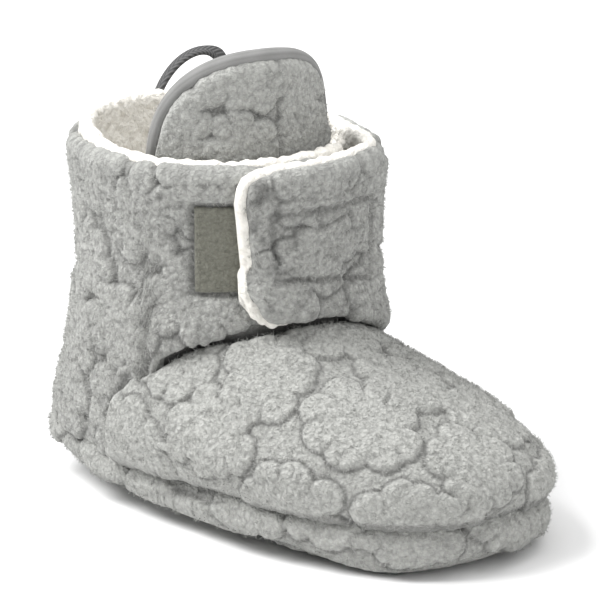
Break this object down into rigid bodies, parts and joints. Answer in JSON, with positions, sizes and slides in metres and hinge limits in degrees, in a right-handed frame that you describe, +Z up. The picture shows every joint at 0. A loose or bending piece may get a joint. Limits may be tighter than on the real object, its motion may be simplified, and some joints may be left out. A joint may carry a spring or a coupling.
{
  "type": "baby slipper",
  "caption": "Soft fleece ankle bootie for a baby: padded sole with rubber grips, hollow foot and shaft, wrap cuff closed by a tab, raised tongue and a pull loop at the back of the collar.",
  "frame": {"origin": "middle of the bounding box on the floor under the grips", "axes": "+X to the toe, +Y to the wearer's left, +Z up"},
  "size_m": [0.1254, 0.0704, 0.105],
  "materials": {
    "grey_fleece": "matte pile",
    "white_pile": "matte pile",
    "binding_tape": "smooth knit",
    "hook_cloth": "fine hooks",
    "dark_webbing": "woven",
    "label_cloth": "flat",
    "grip_rubber": "matte"
  },
  "bodies": {
    "root": {"sole": "grey_fleece", "insole": "white_pile", "upper": "grey_fleece", "tongue": "grey_fleece", "tongue_binding": "binding_tape", "hook_patch": "hook_cloth", "heel_label": "label_cloth", "pull_loop": "dark_webbing", "grip_11": "grip_rubber", "grip_12": "grip_rubber", "grip_13": "grip_rubber", "grip_14": "grip_rubber", "grip_15": "grip_rubber", "grip_21": "grip_rubber", "grip_22": "grip_rubber", "grip_23": "grip_rubber", "grip_24": "grip_rubber", "grip_25": "grip_rubber", "grip_31": "grip_rubber", "grip_32": "grip_rubber", "grip_33": "grip_rubber", "grip_34": "grip_rubber", "grip_35": "grip_rubber"}
  },
  "joints": []
}
